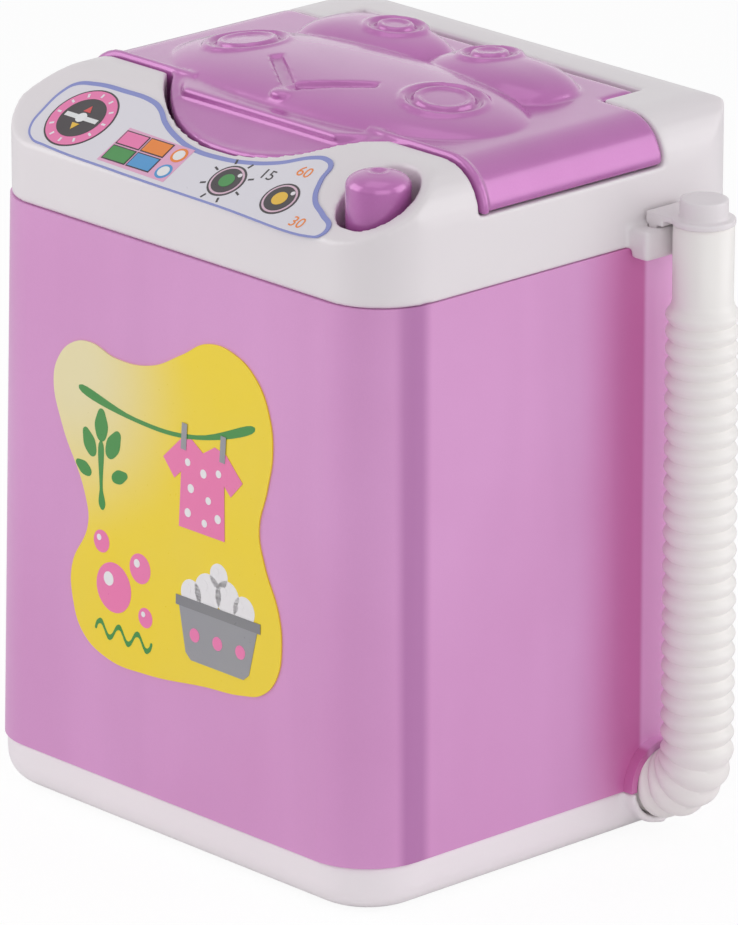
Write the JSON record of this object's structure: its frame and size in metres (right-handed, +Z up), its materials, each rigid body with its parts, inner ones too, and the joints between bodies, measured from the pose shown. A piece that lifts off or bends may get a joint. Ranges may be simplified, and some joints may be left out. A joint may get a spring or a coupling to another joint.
{
  "type": "toy washing machine",
  "caption": "Battery toy top-loading washing machine: lilac case, white frame and base, hinged lid, push button, turning pulsator and side drain hose.",
  "frame": {"origin": "middle of the base's flat underside, where the toy stands", "axes": "+X to the side with the drain hose, -Y to the front with the control panel, +Z up"},
  "size_m": [0.1043, 0.0842, 0.1193],
  "materials": {
    "white_plastic": "smooth moulded, soft gloss",
    "lilac_plastic": "pearly, slightly translucent",
    "lid_plastic": "pearly gloss",
    "tub_plastic": "smooth",
    "gear_plastic": "natural",
    "black_plastic": "matt",
    "hose_plastic": "soft, slightly translucent",
    "steel": "plain",
    "brass": "plain",
    "rubber": "matt",
    "cell_sleeve": "printed sleeve, plain",
    "sticker": null,
    "panel_print": null,
    "wire_sleeve": "soft sleeve"
  },
  "bodies": {
    "case": {"base_tray": "white_plastic", "body_shell": "lilac_plastic", "top_frame": "white_plastic", "wash_tub": "tub_plastic", "shaft_seal": "rubber", "gear_plate": "tub_plastic", "motor_can": "steel", "battery_cell_front": "cell_sleeve", "battery_cell_rear": "cell_sleeve", "contact_bridge": "steel", "contact_terminals": "steel", "battery_springs": "steel", "button_spring": "steel", "switch_block": "black_plastic", "switch_leaf_moving": "brass", "switch_leaf_fixed": "brass", "drain_pipe": "white_plastic", "drain_hose": "hose_plastic", "front_sticker": "sticker", "panel_sticker": "panel_print", "case_screws": "steel", "plate_screws": "steel", "tub_screws": "steel", "wire_battery_switch": "wire_sleeve", "wire_switch_motor": "wire_sleeve", "wire_motor_battery": "wire_sleeve"},
    "lid": {"lid": "lid_plastic"},
    "button": {"power_button": "lid_plastic"},
    "pulsator": {"pulsator": "tub_plastic", "pulsator_shaft": "steel", "drive_gear": "gear_plastic"},
    "motor": {"motor_shaft": "steel", "motor_pinion": "brass"},
    "hose_end": {"hose_end": "white_plastic"},
    "battery_door": {"battery_door": "white_plastic"}
  },
  "joints": [
    {"name": "lid_hinge", "type": "hinge", "parent": "case", "child": "lid", "pos_m": [0, 0.0262, 0.1132], "axis": [-1, 0, 0], "range_deg": [0, 95]},
    {"name": "button_press", "type": "slide", "parent": "case", "child": "button", "axis": [0, 0, -1], "range_m": [0, 0.003], "stiffness_N_per_m": 200, "springref_m": -0.001, "deforming": ["button_spring"]},
    {"name": "pulsator_spin", "type": "hinge", "parent": "case", "child": "pulsator", "pos_m": [0, 0.001, 0.0588], "axis": [0, 0, 1], "continuous": true},
    {"name": "motor_spin", "type": "hinge", "parent": "case", "child": "motor", "pos_m": [0, -0.0171, 0.0488], "axis": [0, 0, 1], "continuous": true},
    {"name": "hose_end_lift", "type": "slide", "parent": "case", "child": "hose_end", "axis": [0, 0, 1], "range_m": [0, 0.005], "deforming": ["drain_hose"]},
    {"name": "battery_door_slide", "type": "slide", "parent": "case", "child": "battery_door", "axis": [1, 0, 0], "range_m": [0, 0.006]}
  ],
  "couplings": [
    {"joint": "motor_spin", "follows": "pulsator_spin", "ratio": -4}
  ]
}
